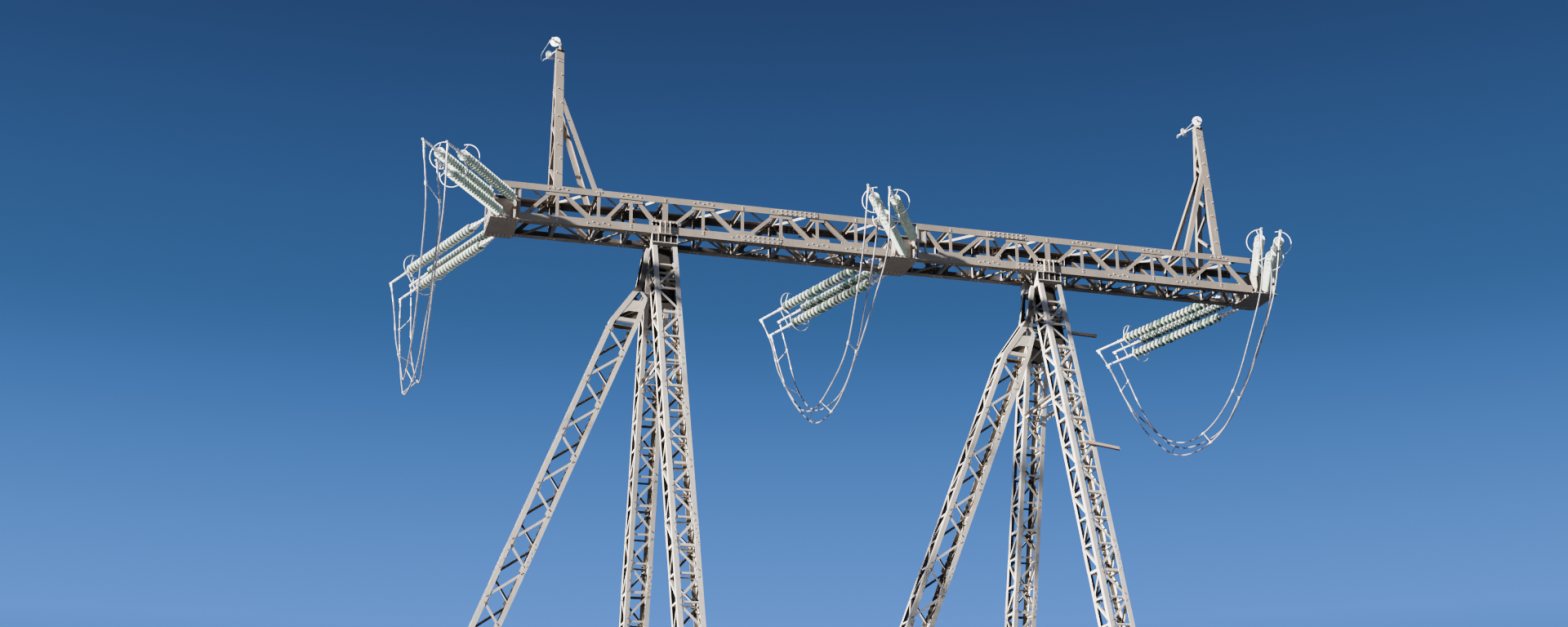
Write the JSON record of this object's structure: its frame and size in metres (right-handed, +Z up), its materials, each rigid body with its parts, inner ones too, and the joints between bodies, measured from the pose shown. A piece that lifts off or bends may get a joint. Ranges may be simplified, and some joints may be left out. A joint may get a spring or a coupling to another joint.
{
  "type": "lattice transmission pylon",
  "caption": "Portal lattice pylon: a box-lattice beam on two tripod supports with earth-wire peaks, dead-ended insulator strings and hanging jumper loops.",
  "frame": {"origin": "centre of the bounding box's footprint at ground level, under the beam's centre line", "axes": "+Z up from the ground, +X along the beam towards its overhanging end, +Y from the near side to the far side, across the beam"},
  "size_m": [24.57, 12.4746, 24.7737],
  "materials": {
    "lattice_steel": "weathered galvanised coating, warm grey",
    "box_steel": "weathered galvanised plate, dark grey",
    "base_steel": "galvanised plate",
    "trim_steel": "dull galvanised, brownish",
    "insulator_glass": "glossy grey-green glaze",
    "fitting_alloy": "cast, dull",
    "cable_aluminium": "stranded, matt"
  },
  "bodies": {
    "root": {"beam_chords_front": "lattice_steel", "beam_chords_rear": "lattice_steel", "beam_lattice_front": "lattice_steel", "beam_lattice_rear": "lattice_steel", "beam_lattice_top": "lattice_steel", "beam_lattice_bottom": "lattice_steel", "phase_box_left": "box_steel", "phase_box_centre": "box_steel", "phase_box_right": "box_steel", "head_left": "lattice_steel", "head_right": "lattice_steel", "leg_left_outer": "lattice_steel", "leg_left_near": "lattice_steel", "leg_left_far": "lattice_steel", "leg_right_outer": "lattice_steel", "leg_right_near": "lattice_steel", "leg_right_far": "lattice_steel", "tie_frame_left": "trim_steel", "tie_frame_right": "trim_steel", "shoes_left": "base_steel", "shoes_right": "base_steel", "peak_left": "lattice_steel", "peak_right": "lattice_steel", "strings_left": "insulator_glass", "strings_centre": "insulator_glass", "strings_right": "insulator_glass", "fittings_left": "fitting_alloy", "fittings_centre": "fitting_alloy", "fittings_right": "fitting_alloy", "jumper_left_1": "cable_aluminium", "jumper_left_2": "cable_aluminium", "jumper_left_3": "cable_aluminium", "jumper_centre_1": "cable_aluminium", "jumper_centre_2": "cable_aluminium", "jumper_centre_3": "cable_aluminium", "jumper_right_1": "cable_aluminium", "jumper_right_2": "cable_aluminium", "jumper_right_3": "cable_aluminium", "spacers_left": "fitting_alloy", "spacers_centre": "fitting_alloy", "spacers_right": "fitting_alloy", "earthwire_left": "fitting_alloy", "earthwire_right": "fitting_alloy", "earth_loop_left": "cable_aluminium", "earth_loop_right": "cable_aluminium"}
  },
  "joints": []
}
